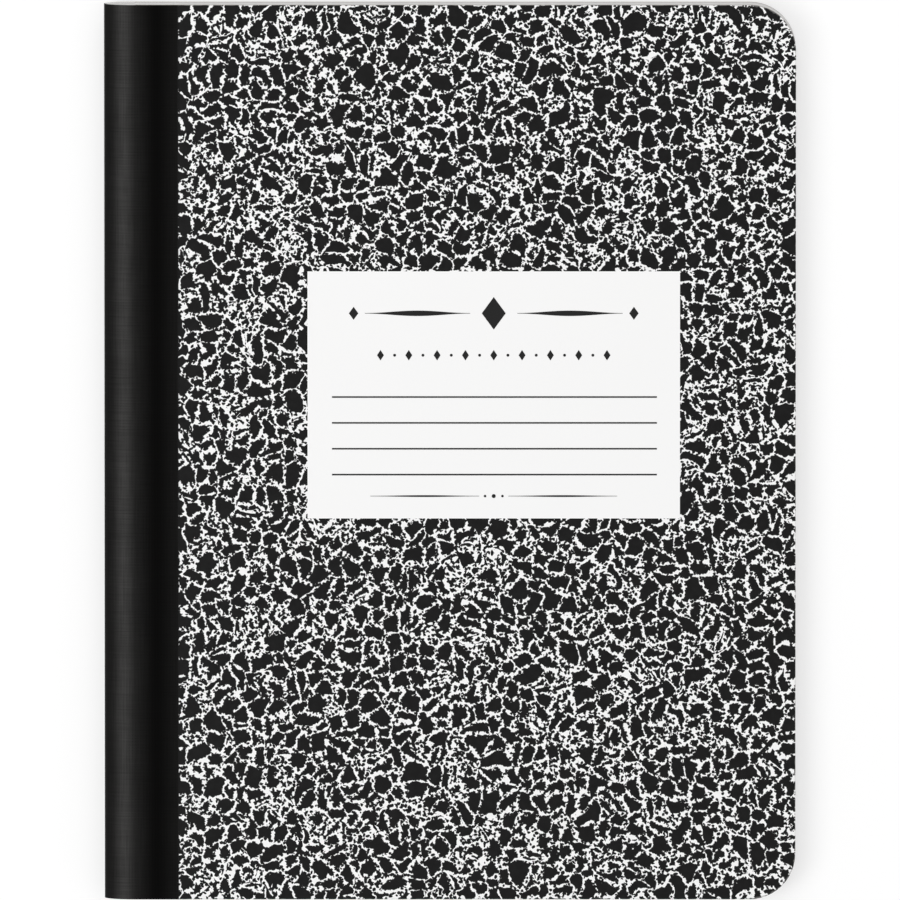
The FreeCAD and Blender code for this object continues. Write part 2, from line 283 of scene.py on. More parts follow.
class TrimWear(Effect):
    """Wear along the trimmed head, tail and fore edge, strongest on the round corners."""

    title = "trimmed edge wear"
    inputs = (Port("Place", SocketKind.PLACE), Port("Width", value=0.6), Port("Fore edge", value=95.0),
              Port("Head", value=123.0), Port("Corner", value=12.0))
    outputs = (Port("Mask"),)
    rag_size = 1.7
    rag_width = (0.3, 1.6)
    corner_gain = 2.4

    def draw(self, tree: Tree, given: bpy.types.NodeOutputs) -> dict[str, Feed]:
        """Draws a ragged mask from the distance to the book's outline."""
        x, y, _ = tree.split(given["Place"])
        corner = given["Corner"]
        right = tree.math("ADD", tree.math("SUBTRACT", x, given["Fore edge"]), corner)
        up = tree.math("ADD", tree.math("SUBTRACT", tree.math("ABSOLUTE", y), given["Head"]), corner)
        outside = tree.join(tree.math("MAXIMUM", right, 0.0), tree.math("MAXIMUM", up, 0.0))
        inside = tree.math("MINIMUM", tree.math("MAXIMUM", right, up), 0.0)
        reach = tree.math("ADD", tree.vector("LENGTH", outside), inside)
        distance = tree.math("SUBTRACT", corner, reach)
        rag = tree.noise(given["Place"], self.rag_size, 3.0).outputs[0]
        on_corner = tree.ramp(tree.math("MINIMUM", right, up), -6.0, 4.0, 1.0, self.corner_gain)
        width = tree.math("MULTIPLY", tree.math("MULTIPLY", given["Width"], on_corner),
                          tree.ramp(rag, 0.35, 0.7, *self.rag_width))
        return {"Mask": tree.ramp(tree.math("DIVIDE", distance, width), 1.0, 0.0)}


class PlainWeave(Effect):
    """Over-and-under threads of a plain weave."""

    title = "plain weave"
    inputs = (Port("Place", SocketKind.PLACE), Port("Pitch", value=0.42))
    outputs = (Port("Height"), Port("Tone"), Port("Gap"))
    drift_size = 6.0
    drift = 0.25
    slub_across = 2.4
    slub_along = 0.09

    def draw(self, tree: Tree, given: bpy.types.NodeOutputs) -> dict[str, Feed]:
        """Draws two sets of threads that take turns on top."""
        drift = tree.noise(given["Place"], self.drift_size, 1.0).outputs["Color"]
        drift = tree.vector("SCALE", tree.vector("SUBTRACT", drift, (0.5, 0.5, 0.5)), scale=self.drift)
        place = tree.vector("ADD", given["Place"], drift)
        place = tree.vector("SCALE", place, scale=tree.math("DIVIDE", math.pi, given["Pitch"]))
        u, v, _ = tree.split(place)
        rounds = []
        for across, along, sign in ((u, v, 1.0), (v, u, -1.0)):
            body = tree.math("ABSOLUTE", tree.math("SINE", across))
            cell = tree.math("FLOOR", tree.math("DIVIDE", across, math.pi))
            phase = tree.math("ADD", along, tree.math("MULTIPLY", cell, math.pi))
            over = tree.math("MULTIPLY", tree.math("SINE", phase), 0.5)
            lift = tree.math("ADD", tree.math("MULTIPLY", over, sign), 0.5)
            rounds.append(tree.math("MULTIPLY", body, lift))
        height = tree.math("MAXIMUM", *rounds)
        warp = tree.vector("MULTIPLY", given["Place"], (self.slub_across, self.slub_along, 1.0))
        weft = tree.vector("MULTIPLY", given["Place"], (self.slub_along, self.slub_across, 1.0))
        slubs = tree.math("ADD", tree.noise(warp, 1.0, 2.0).outputs[0],
                          tree.noise(weft, 1.0, 2.0, (9.0, 4.0, 0.0)).outputs[0])
        return {"Height": height, "Tone": tree.math("MULTIPLY", slubs, 0.5),
                "Gap": tree.ramp(height, 0.35, 0.0)}


@dataclass(frozen=True)
class Cells:
    """One size of cell: its width, half the vein round it, and the share of cells that it takes."""

    size: float
    vein: float
    share: float
    shift: Point


@dataclass(frozen=True)
class Ripple:
    """Noise of one size that moves a place or roughens a line."""

    reach: float
    size: float
    shift: Point
    detail: float = 0.0
    roughness: float = 0.5

    def noise(self, tree: Tree, place: Feed) -> bpy.types.Node:
        """Adds the ripple's noise."""
        return tree.noise(place, self.size, self.detail, self.shift, True, self.roughness)

    def height(self, tree: Tree, place: Feed) -> bpy.types.NodeSocket:
        """Gives the ripple as a number from minus its reach to its reach."""
        centred = tree.math("SUBTRACT", self.noise(tree, place).outputs[0], 0.5)
        return tree.math("MULTIPLY", centred, 2.0 * self.reach)

    def push(self, tree: Tree, place: Feed) -> bpy.types.NodeSocket:
        """Gives the place, pushed about by the ripple."""
        colour = self.noise(tree, place).outputs["Color"]
        centred = tree.vector("SUBTRACT", colour, (0.5, 0.5, 0.5))
        return tree.vector("ADD", place, tree.vector("SCALE", centred, scale=2.0 * self.reach))


class MarbledBlots(Effect):
    """Crinkled blots of many sizes with pale veins between them, as on marbled paper."""

    title = "marbled blots"
    inputs = (Port("Place", SocketKind.PLACE),)
    outputs = (Port("Vein mask"), Port("Ink"))
    blots = Cells(4.3, 0.45, 0.18, (0.0, 0.0, 0.0))
    halves = Cells(3.0, 0.36, 1.0, (91.3, 17.7, 0.0))
    islands = (Cells(1.25, 0.19, 0.90, (5.3, 47.7, 0.0)), Cells(0.9, 0.18, 0.15, (25.3, 87.7, 0.0)))
    warps = (Ripple(2.0, 8.0, (57.1, 33.3, 0.0)), Ripple(1.0, 3.0, (13.1, 7.7, 0.0)),
             Ripple(0.4, 1.2, (31.7, 55.2, 0.0)), Ripple(0.2, 0.5, (71.7, 15.9, 0.0)))
    island_warp = Ripple(0.3, 0.9, (11.7, 95.9, 0.0))
    crinkle = Ripple(0.5, 1.2, (43.3, 19.1, 0.0), 2.0, 0.6)
    rag = Ripple(0.09, 0.5, (143.3, 59.1, 0.0))
    swell = Ripple(0.6, 2.6, (3.3, 9.1, 0.0), 1.0)
    thinnest = 0.1
    island_rag = 0.06
    never = 9.0
    soft = 0.03
    ink_size = 2.2

    def chance(self, tree: Tree, cell: bpy.types.Node) -> bpy.types.NodeSocket:
        """Gives each cell a number of its own, from 0 to 1."""
        colour = tree.add("SeparateColor")
        tree.feed(colour.inputs[0], cell.outputs["Color"])
        return colour.outputs[0]

    def layer(self, tree: Tree, place: Feed, cells: Cells, swell: Feed) -> tuple[Feed, Feed]:
        """Draws one size of cell.

        Args:
            tree: The group's tree.
            place: The place, in millimetres.
            cells: The cells.
            swell: How many times as wide as usual the vein is.

        Returns:
            How deep a place lies inside its cell, and 1 where the cell is in the cells' share.
        """
        edge = tree.cells(place, cells.size, "DISTANCE_TO_EDGE", cells.shift)
        depth = tree.math("MULTIPLY", edge.outputs["Distance"], cells.size)
        depth = tree.math("SUBTRACT", depth, tree.math("MULTIPLY", swell, cells.vein))
        cell = tree.cells(place, cells.size, "F1", cells.shift)
        return depth, tree.math("LESS_THAN", self.chance(tree, cell), cells.share)

    def dots(self, tree: Tree, place: Feed, cells: Cells) -> bpy.types.NodeSocket:
        """Draws a round dot in each cell of the cells' share, and gives how deep a place lies in it."""
        cell = tree.cells(place, cells.size, "F1", cells.shift)
        radius = cells.size / 2.0 - cells.vein
        depth = tree.math("MULTIPLY_ADD", cell.outputs["Distance"], -cells.size, radius)
        left_out = tree.math("GREATER_THAN", self.chance(tree, cell), cells.share)
        return tree.math("SUBTRACT", depth, tree.math("MULTIPLY", left_out, self.never))

    def draw(self, tree: Tree, given: bpy.types.NodeOutputs) -> dict[str, Feed]:
        """Draws large blots, splits some, crinkles their edges, and sets islands in the veins."""
        flat = tree.vector("MULTIPLY", given["Place"], (1.0, 1.0, 0.0))
        place = flat
        for ripple in self.warps:
            place = ripple.push(tree, place)
        swell = tree.math("ADD", self.swell.height(tree, flat), 1.0)
        swell = tree.math("MAXIMUM", swell, self.thinnest)
        depth, split = self.layer(tree, place, self.blots, swell)
        half, _ = self.layer(tree, place, self.halves, swell)
        whole = tree.math("MULTIPLY", tree.math("SUBTRACT", 1.0, split), self.never)
        depth = tree.math("MINIMUM", depth, tree.math("ADD", half, whole))
        rag = self.rag.height(tree, flat)
        depth = tree.math("ADD", depth, self.crinkle.height(tree, flat))
        depth = tree.math("ADD", depth, rag)
        shifted = self.island_warp.push(tree, flat)
        islands = [self.dots(tree, shifted, cells) for cells in self.islands]
        island = tree.math("MULTIPLY_ADD", rag, self.island_rag / self.rag.reach,
                           tree.math("MAXIMUM", *islands))
        depth = tree.math("MAXIMUM", depth, island)
        ink = tree.noise(flat, self.ink_size, 2.0, (7.0, 63.0, 0.0), True).outputs[0]
        return {"Vein mask": tree.ramp(depth, self.soft, -self.soft), "Ink": ink}


# Finishes

class Finish:
    """A named finish that makes one material."""

    name: str

    def material(self) -> bpy.types.Material:
        """Gives the finish's material, which is made on first use."""
        known = bpy.data.materials.get(self.name)
        if known:
            return known
        material = bpy.data.materials.new(self.name)
        material.use_nodes = True
        material.node_tree.nodes.clear()
        tree = Tree(material.node_tree)
        shader = tree.add("BsdfPrincipled")
        out = tree.add("OutputMaterial")
        tree.feed(out.inputs["Surface"], shader.outputs[0])
        self.dress(tree, shader)
        return material

    def dress(self, tree: Tree, shader: bpy.types.Node) -> None:
        """Adds the finish's nodes and feeds them to the shader.

        Args:
            tree: The material's tree.
            shader: The material's Principled BSDF.
        """
        raise NotImplementedError


def body_place(tree: Tree) -> bpy.types.NodeSocket:
    """Gives the place on a rigid piece, in millimetres."""
    place = tree.add("TexCoord").outputs["Object"]
    return tree.vector("SCALE", place, scale=1.0 / MM)


def map_place(tree: Tree, name: str) -> bpy.types.NodeSocket:
    """Gives the place on one of the piece's own maps."""
    return tree.add("UVMap", uv_map=name).outputs[0]


def bump(tree: Tree, shader: bpy.types.Node, height: Feed, depth: float,
         strength: float = 1.0) -> None:
    """Feeds a height to the shader's normal.

    Args:
        tree: The material's tree.
        shader: The material's Principled BSDF.
        height: The height, from 0 to 1.
        depth: What a height of 1 stands for, in millimetres.
        strength: The share of the bump that shows.
    """
    node = tree.add("Bump")
    node.inputs["Strength"].default_value = strength
    node.inputs["Distance"].default_value = depth * MM
    tree.feed(node.inputs["Height"], height)
    tree.feed(shader.inputs["Normal"], node.outputs[0])


def grey(value: float, warmth: float = 0.0) -> tuple[float, float, float, float]:
    """Gives a linear grey, a little warmer or cooler."""
    return (value * (1.0 + warmth), value, value * (1.0 - warmth), 1.0)


def surface(tree: Tree, shader: bpy.types.Node, colour: Feed, roughness: Feed,
            specular: float) -> None:
    """Gives the shader its colour, its roughness and a constant specular level.

    Args:
        tree: The material's tree.
        shader: The material's Principled BSDF.
        colour: The base colour.
        roughness: The roughness.
        specular: The specular level.
    """
    tree.feed(shader.inputs["Base Color"], colour)
    tree.feed(shader.inputs["Roughness"], roughness)
    shader.inputs["Specular IOR Level"].default_value = specular


@dataclass(frozen=True)
class MarbledPrint(Finish):
    """Black blots printed on white paper, with a thin varnish."""

    name: str
    shift: Point
    outline: "Outline"
    black: float = 0.0045
    white: float = 0.90
    wear_width: float = 0.22
    wear_strength: float = 0.6
    wear_grey: float = 0.30
    roughness: Span = (0.42, 0.55)
    specular: float = 0.1

    def dress(self, tree: Tree, shader: bpy.types.Node) -> None:
        """Prints the blots, thins the ink in places, and wears the trimmed edge."""
        place = body_place(tree)
        blots = tree.effect(MarbledBlots(), Place=tree.vector("ADD", place, self.shift))
        fibres = tree.effect(PaperFibres(), Place=place, Fibre=0.3, Cloud=14.0)
        wear = tree.effect(TrimWear(), Place=place, Width=self.wear_width, **self.outline.values())
        ink = tree.mix(tree.ramp(blots["Ink"], 0.3, 0.75), grey(self.black * 0.8),
                       grey(self.black * 1.35))
        paper = tree.mix(fibres["Tone"], grey(self.white - 0.03, 0.004), grey(self.white + 0.02))
        printed = tree.mix(blots["Vein mask"], ink, paper)
        worn = tree.mix(tree.math("MULTIPLY", wear["Mask"], self.wear_strength), printed,
                        grey(self.wear_grey, 0.02))
        surface(tree, shader, worn, tree.ramp(blots["Vein mask"], 0.0, 1.0, *self.roughness),
                self.specular)
        bump(tree, shader, fibres["Height"], 0.012, 0.5)


@dataclass(frozen=True)
class PaperCore(Finish):
    """The unprinted paper that shows at a cut edge."""

    name: str = "cut_paper"
    dark: float = 0.52
    light: float = 0.78
    warmth: float = 0.02

    def dress(self, tree: Tree, shader: bpy.types.Node) -> None:
        """Gives the paper a soft white with fibres."""
        fibres = tree.effect(PaperFibres(), Place=body_place(tree), Fibre=0.15, Cloud=5.0)
        paper = tree.mix(fibres["Tone"], grey(self.dark, self.warmth), grey(self.light, self.warmth))
        surface(tree, shader, paper, 0.85, 0.2)
        bump(tree, shader, fibres["Height"], 0.02)


@dataclass(frozen=True)
class TapeCloth(Finish):
    """Black coated book cloth: a fine weave with painted shade in its gaps, a painted highlight along
    the shoulder that stands partly for rubbing, lighter and frayed at the cut edge.
    """

    name: str
    shoulder: float
    reach: float = 9.0
    core: float = 0.4
    black: float = 0.0016
    highlight_and_rub_grey: float = 0.048
    pitch: float = 0.8
    patch_size: float = 14.0
    edge_lightening: float = 6.0
    fray: float = 0.3
    roughness: Span = (0.38, 0.43)
    gap_roughness: float = 0.15
    specular: float = 0.02

    def highlight_and_rub(self, tree: Tree, across: Feed, patch: Feed) -> bpy.types.NodeSocket:
        """Gives the painted highlight along the shoulder, which stands partly for rubbing, in uneven
        patches, and a lightening near the cut edge.

        Args:
            tree: The material's tree.
            across: The distance from the cut edge.
            patch: The noise of the patches.

        Returns:
            How strong the painted highlight and rubbing are, from 0 to about 1.
        """
        # Painted highlight: a band centred on the shoulder, where the spine's curve faces the lamp,
        # stands in for a sheen as well as for rubbing. The last ramp lightens the cloth toward the cut
        # edge.
        near = tree.gap(across, self.shoulder)
        highlight_and_rub = tree.math("ADD", tree.ramp(near, self.reach, 0.0, 0.0, 0.45),
                        tree.ramp(near, self.reach * self.core, 0.0, 0.0, 0.55))
        highlight_and_rub = tree.math("MULTIPLY", highlight_and_rub, tree.ramp(patch, 0.2, 0.8, 0.85, 1.1))
        return tree.math("ADD", highlight_and_rub, tree.ramp(across, self.edge_lightening, 0.0, 0.0, 0.14))

    def dress(self, tree: Tree, shader: bpy.types.Node) -> None:
        """Weaves the cloth on its own flat map, whose X runs from the cut edge to the spine."""
        place = tree.vector("SCALE", map_place(tree, CLOTH_MAP), scale=1.0 / MM)
        weave = tree.effect(PlainWeave(), Place=place, Pitch=self.pitch)
        across = tree.split(place)[0]
        patch = tree.noise(place, self.patch_size, 3.0).outputs[0]
        # Painted highlight: the black is lightened toward a grey along the shoulder and near the cut
        # edge.
        cloth = tree.mix(self.highlight_and_rub(tree, across, patch), grey(self.black, 0.06), grey(self.highlight_and_rub_grey, 0.02))
        # Painted shade: the weave's gaps are darkened toward a deeper black, on top of the slub tone.
        slub_and_gap_shade = tree.ramp(weave["Tone"], 0.3, 0.7, 0.0, 0.35)
        slub_and_gap_shade = tree.math("ADD", slub_and_gap_shade, tree.math("MULTIPLY", weave["Gap"], 0.4))
        cloth = tree.mix(slub_and_gap_shade, cloth, grey(self.black * 0.5, 0.05))
        frayed = tree.noise(tree.vector("MULTIPLY", place, (1.0, 4.0, 1.0)), 1.2, 2.0).outputs[0]
        cut = tree.math("SUBTRACT", across, tree.math("MULTIPLY", frayed, self.fray))
        cloth = tree.mix(tree.ramp(cut, 0.1, 0.0, 0.0, 0.3), cloth, grey(0.03))
        roughness = tree.math("MULTIPLY_ADD", weave["Gap"], self.gap_roughness,
                              tree.ramp(patch, 0.2, 0.8, *self.roughness))
        surface(tree, shader, cloth, roughness, self.specular)
        bump(tree, shader, weave["Height"], 0.03, 0.5)


@dataclass(frozen=True)
class RuledLeaf(Finish):
    """A writing leaf with wide blue rules and a red margin line on each side."""

    name: str
    outline: "Outline"
    middle: float
    front_margin: float
    back_margin: float
    first_rule: float = 28.6
    pitch: float = 8.73
    rules: int = 25
    line: float = 0.34
    soft: float = 0.05
    white: float = 0.80
    blue: tuple[float, float, float, float] = (0.17, 0.40, 0.62, 1.0)
    red: tuple[float, float, float, float] = (0.70, 0.12, 0.16, 1.0)

    def stroke(self, tree: Tree, off: Feed) -> bpy.types.NodeSocket:
        """Gives the mask of a printed line from the distance to its middle."""
        return tree.ramp(off, self.line * 0.5 + self.soft, self.line * 0.5 - self.soft)

    def rows(self, tree: Tree, y: Feed) -> bpy.types.NodeSocket:
        """Gives the mask of the blue rules."""
        down = tree.math("SUBTRACT", self.outline.head - self.first_rule, y)
        count = tree.math("DIVIDE", down, self.pitch)
        off = tree.math("MULTIPLY", tree.gap(count, tree.math("ROUND", count)), self.pitch)
        inside = tree.math("MULTIPLY", tree.math("GREATER_THAN", count, -0.5),
                           tree.math("LESS_THAN", count, self.rules + 0.5))
        return tree.math("MULTIPLY", self.stroke(tree, off), inside)

    def margin(self, tree: Tree, x: Feed, z: Feed) -> bpy.types.NodeSocket:
        """Gives the mask of the margin line, which differs between the first page and the last."""
        front, back = (self.stroke(tree, tree.gap(x, at))
                       for at in (self.front_margin, self.back_margin))
        upper = tree.math("GREATER_THAN", z, self.middle)
        return tree.math("ADD", tree.math("MULTIPLY", front, upper),
                         tree.math("MULTIPLY", back, tree.math("SUBTRACT", 1.0, upper)))

    def dress(self, tree: Tree, shader: bpy.types.Node) -> None:
        """Rules both sides of the outer sheet, each from its own margin."""
        place = body_place(tree)
        x, y, z = tree.split(place)
        fibres = tree.effect(PaperFibres(), Place=place, Fibre=0.22, Cloud=16.0)
        wear = tree.effect(TrimWear(), Place=place, Width=0.9, **self.outline.values())
        paper = tree.mix(fibres["Tone"], grey(self.white - 0.05, 0.012), grey(self.white + 0.03, 0.006))
        paper = tree.mix(tree.math("MULTIPLY", wear["Mask"], 0.25), paper, grey(0.6, 0.05))
        ink = tree.ramp(fibres["Height"], 0.35, 0.7, 0.55, 0.8)
        page = tree.mix(tree.math("MULTIPLY", self.rows(tree, y), ink), paper, self.blue)
        page = tree.mix(tree.math("MULTIPLY", self.margin(tree, x, z), ink), page, self.red)
        surface(tree, shader, page, tree.ramp(fibres["Tone"], 0.3, 0.7, 0.78, 0.9), 0.25)
        bump(tree, shader, fibres["Height"], 0.015, 0.6)


@dataclass(frozen=True)
class LeafEdges(Finish):
    """The cut edges of the leaves, each a little lighter or darker than its neighbour."""

    name: str = "leaf_edges"
    light: float = 0.92
    dark: float = 0.66
    band_run: float = 18.0
    band_leaves: float = 0.16
    leaf_share: float = 0.45
    join_shade_strength: float = 0.55

    def dress(self, tree: Tree, shader: bpy.types.Node) -> None:
        """Shades each leaf by its number, with painted shade as thin dark lines at the joins between
        leaves, and wider soft bands.
        """
        along, leaf, _ = tree.split(map_place(tree, LEAF_MAP))
        number = tree.math("FLOOR", leaf)
        chance = tree.add("TexWhiteNoise", noise_dimensions="1D")
        tree.feed(chance.inputs["W"], number)
        run = tree.join(tree.math("MULTIPLY", along, self.band_run),
                        tree.math("MULTIPLY", leaf, self.band_leaves))
        band = tree.ramp(tree.noise(run, 1.0, 3.0, flat=True).outputs[0], 0.3, 0.7)
        # Painted shade: the joins between leaves are darkened where the gaps would lie in shade. The
        # same mask also feeds the bump.
        join = tree.ramp(tree.gap(tree.math("SUBTRACT", leaf, number), 0.5), 0.34, 0.5)
        tone = tree.weigh(chance.outputs["Value"], band, self.leaf_share)
        paper = tree.mix(tone, grey(self.dark + 0.14, 0.012), grey(self.light, 0.006))
        paper = tree.mix(tree.math("MULTIPLY", join, self.join_shade_strength), paper,
                         grey(self.dark, 0.015))
        surface(tree, shader, paper, 0.9, 0.2)
        bump(tree, shader, tree.math("SUBTRACT", 1.0, join), 0.02)


@dataclass(frozen=True)
class PlainPaper(Finish):
    """White paper with a faint grain, as pasted inside the covers or printed white outside."""

    name: str
    white: float
    gloss: float
    roughness: float
    fibre: float = 0.25
    cloud: float = 18.0
    change: float = 0.02
    unevenness: float = 0.04

    def dress(self, tree: Tree, shader: bpy.types.Node) -> None:
        """Gives the paper its grain and cloud."""
        fibres = tree.effect(PaperFibres(), Place=body_place(tree), Fibre=self.fibre,
                             Cloud=self.cloud)
        paper = tree.mix(fibres["Tone"], grey(self.white - self.change, 0.005),
                         grey(self.white + self.change))
        roughness = tree.ramp(fibres["Tone"], 0.3, 0.7, self.roughness - self.unevenness,
                              self.roughness + self.unevenness)
        surface(tree, shader, paper, roughness, self.gloss)
        bump(tree, shader, fibres["Height"], 0.01, 0.5)


@dataclass(frozen=True)
class Chipboard(Finish):
    """Grey-brown board of pressed waste paper, in thin plies, with dark and light flecks."""

    name: str = "chipboard"
    dark: tuple[float, float, float, float] = (0.19, 0.165, 0.135, 1.0)
    light: tuple[float, float, float, float] = (0.38, 0.345, 0.29, 1.0)
    plies: Point = (0.12, 0.12, 5.0)
    fleck: float = 0.35
    dark_fleck: float = 0.07
    light_fleck: float = 0.6

    def dress(self, tree: Tree, shader: bpy.types.Node) -> None:
        """Lays plies through the board's thickness and scatters flecks."""
        place = body_place(tree)
        fibres = tree.effect(PaperFibres(), Place=place, Fibre=0.3, Cloud=6.0)
        plies = tree.noise(tree.vector("MULTIPLY", place, self.plies), 1.0, 2.0).outputs[0]
        tone = tree.weigh(fibres["Tone"], plies, 0.5)
        board = tree.mix(tree.ramp(tone, 0.3, 0.7), self.dark, self.light)
        flecks = tree.noise(place, self.fleck, 1.0, (17.0, 5.0, 2.0)).outputs[0]
        board = tree.mix(tree.ramp(flecks, 0.66, 0.74, 0.0, 0.7), board, grey(self.dark_fleck))
        board = tree.mix(tree.ramp(flecks, 0.33, 0.26, 0.0, 0.6), board, grey(self.light_fleck))
        surface(tree, shader, board, tree.ramp(tone, 0.3, 0.7, 0.8, 0.95), 0.2)
        bump(tree, shader, tone, 0.06)


@dataclass(frozen=True)
class PrintedInk(Finish):
    """Flat black printing ink on the panel."""

    name: str = "panel_ink"
    dark: float = 0.004
    light: float = 0.012

    def dress(self, tree: Tree, shader: bpy.types.Node) -> None:
        """Gives the ink the paper's grain, slightly uneven."""
        fibres = tree.effect(PaperFibres(), Place=body_place(tree), Fibre=0.2, Cloud=6.0)
        surface(tree, shader, tree.mix(fibres["Tone"], grey(self.dark), grey(self.light)),
                tree.ramp(fibres["Tone"], 0.3, 0.7, 0.45, 0.55), 0.15)
        bump(tree, shader, fibres["Height"], 0.008, 0.5)


@dataclass(frozen=True)
class TwistedThread(Finish):
    """White cotton thread with a diagonal twist along Y."""

    name: str = "cotton_thread"
    twist: float = 0.9
    lean: float = 4.0
    dark: float = 0.42
    light: float = 0.82

    def dress(self, tree: Tree, shader: bpy.types.Node) -> None:
        """Winds grooves round the thread, darkened by painted shade, and roughens it with fibres."""
        place = body_place(tree)
        x, y, z = tree.split(place)
        turn = tree.math("ADD", tree.math("MULTIPLY", y, math.tau / self.twist),
                         tree.math("MULTIPLY", tree.math("ADD", x, z), self.lean))
        strand = tree.math("MULTIPLY_ADD", tree.math("SINE", turn), 0.5, 0.5)
        fibres = tree.effect(PaperFibres(), Place=place, Fibre=0.08, Cloud=3.0)
        # Painted shade: the colour follows the twist's wave and is darker in the grooves, where the
        # bump is low.
        tone = tree.ramp(tree.math("MULTIPLY", strand, fibres["Tone"]), 0.0, 0.5)
        tree.feed(shader.inputs["Base Color"],
                  tree.mix(tone, grey(self.dark, 0.03), grey(self.light, 0.02)))
        shader.inputs["Roughness"].default_value = 0.8
        shader.inputs["Sheen Weight"].default_value = 0.2
        bump(tree, shader, strand, 0.05)


@dataclass(frozen=True)
class PaleFloor(Finish):
    """A plain pale floor that keeps shadows and meets the white background."""

    name: str = "pale_floor"
    colour: float = 0.46
    lift: float = 0.56
    far_lift: float = 0.735
    near: float = 400.0
    far: float = 3200.0

    def dress(self, tree: Tree, shader: bpy.types.Node) -> None:
        """Lifts the floor for the camera, more where the lamps don't reach, so that it is white."""
        surface(tree, shader, grey(self.colour), 1.0, 0.0)
        shader.inputs["Emission Color"].default_value = grey(1.0)
        away = tree.vector("LENGTH", body_place(tree))
        lift = tree.ramp(away, self.near, self.far, self.lift, self.far_lift)
        tree.feed(shader.inputs["Emission Strength"], tree.math("MULTIPLY", tree.seen(), lift))


# Mesh building

class PieceMesh:
    """Collects the faces of one closed piece, with a place on each map for every corner."""

    def __init__(self, *maps: str) -> None:
        """Starts an empty piece with the named maps."""
        self.points: list[Point] = []
        self.numbers: dict[Point, int] = {}
        self.faces: list[list[int]] = []
        self.finishes: list[int] = []
        self.places: dict[str, list[Place]] = {name: [] for name in maps}

    def number(self, point: Point) -> int:
        """Gives a point's number, which equal points share."""
        key = tuple(round(value, 6) for value in point)
        if key not in self.numbers:
            self.numbers[key] = len(self.points)
            self.points.append(point)
        return self.numbers[key]

    def face(self, points: Sequence[Point], finish: int = 0, **places: Sequence[Place]) -> None:
        """Adds one face, without corners that fall together.

        Args:
            points: The face's corners in order.
            finish: The number of the face's finish.
            **places: The corners' places on each map.
        """
        corners: list[int] = []
        kept: list[int] = []
        for at, point in enumerate(points):
            number = self.number(point)
            if number not in corners:
                corners.append(number)
                kept.append(at)
        if len(corners) < 3:
            return
        self.faces.append(corners)
        self.finishes.append(finish)
        for name, known in self.places.items():
            known.extend(places[name][at] for at in kept)

    def grid(self, rows: Sequence[Sequence[Point]], finish: int = 0,
             **places: Sequence[Sequence[Place]]) -> None:
        """Adds a face between each four neighbours of a grid of points.

        Args:
            rows: The points, row by row.
            finish: The number of the faces' finish.
            **places: The points' places on each map, laid out as the points are.
        """
        for i in range(len(rows) - 1):
            for j in range(len(rows[i]) - 1):
                turn = ((i, j), (i, j + 1), (i + 1, j + 1), (i + 1, j))
                self.face([rows[a][b] for a, b in turn], finish,
                          **{name: [grid[a][b] for a, b in turn] for name, grid in places.items()})

    def piece(self, name: str, finishes: Sequence[Finish], crease: float = 28.0) -> bpy.types.Object:
        """Makes the object, with its normals outward.

        Args:
            name: The object's name.
            finishes: The finishes, in the order of their numbers.
            crease: The angle in degrees above which an edge stays sharp.

        Returns:
            The new object, linked to the scene.
        """
        mesh = bpy.data.meshes.new(name)
        mesh.from_pydata([[value * MM for value in point] for point in self.points], [], self.faces)
        mesh.polygons.foreach_set("material_index", self.finishes)
        for map_name, places in self.places.items():
            layer = mesh.uv_layers.new(name=map_name)
            layer.data.foreach_set("uv", [value for place in places for value in place])
        for finish in finishes:
            mesh.materials.append(finish.material())
        work = bmesh.new()
        work.from_mesh(mesh)
        bmesh.ops.recalc_face_normals(work, faces=work.faces)
        work.to_mesh(mesh)
        work.free()
        mesh.shade_smooth()
        mesh.set_sharp_from_angle(angle=math.radians(crease))
        obj = bpy.data.objects.new(name, mesh)
        bpy.context.scene.collection.objects.link(obj)
        return obj


def lay(region: Region, across: float, up: float) -> Place:
    """Gives the place at two shares of a region of a map."""
    left, low, right, high = region
    return (left + (right - left) * across, low + (high - low) * up)


def shares(points: Sequence[Sequence[float]]) -> list[float]:
    """Gives each point's share of the way along a line."""
    steps = [0.0]
    for first, second in zip(points, points[1:]):
        steps.append(steps[-1] + math.dist(first, second))
    return [step / steps[-1] for step in steps]


@dataclass(frozen=True)
class Outline:
    """The book's trimmed outline: square at the spine, round at the fore edge."""

    spine: float
    fore_edge: float
    head: float
    corner: float
    steps: int = 12

    def values(self) -> dict[str, float]:
        """Gives the outline as the values of the edge wear effect."""
        return {"Fore edge": self.fore_edge, "Head": self.head, "Corner": self.corner}

    def stations(self, start: float, inset: float = 0.0) -> list[Place]:
        """Gives the outline's upper half as columns.

        Args:
            start: The X at which the first column stands.
            inset: How far the line lies inside the outline.

        Returns:
            Places from start to the middle of the fore edge's round corner, each X once.
        """
        centre = (self.fore_edge - self.corner, self.head - self.corner)
        radius = self.corner - inset
        places = [(start, self.head - inset)]
        for step in range(self.steps + 1):
            angle = math.radians(90.0 * (1.0 - step / self.steps))
            places.append((centre[0] + radius * math.cos(angle), centre[1] + radius * math.sin(angle)))
        return places


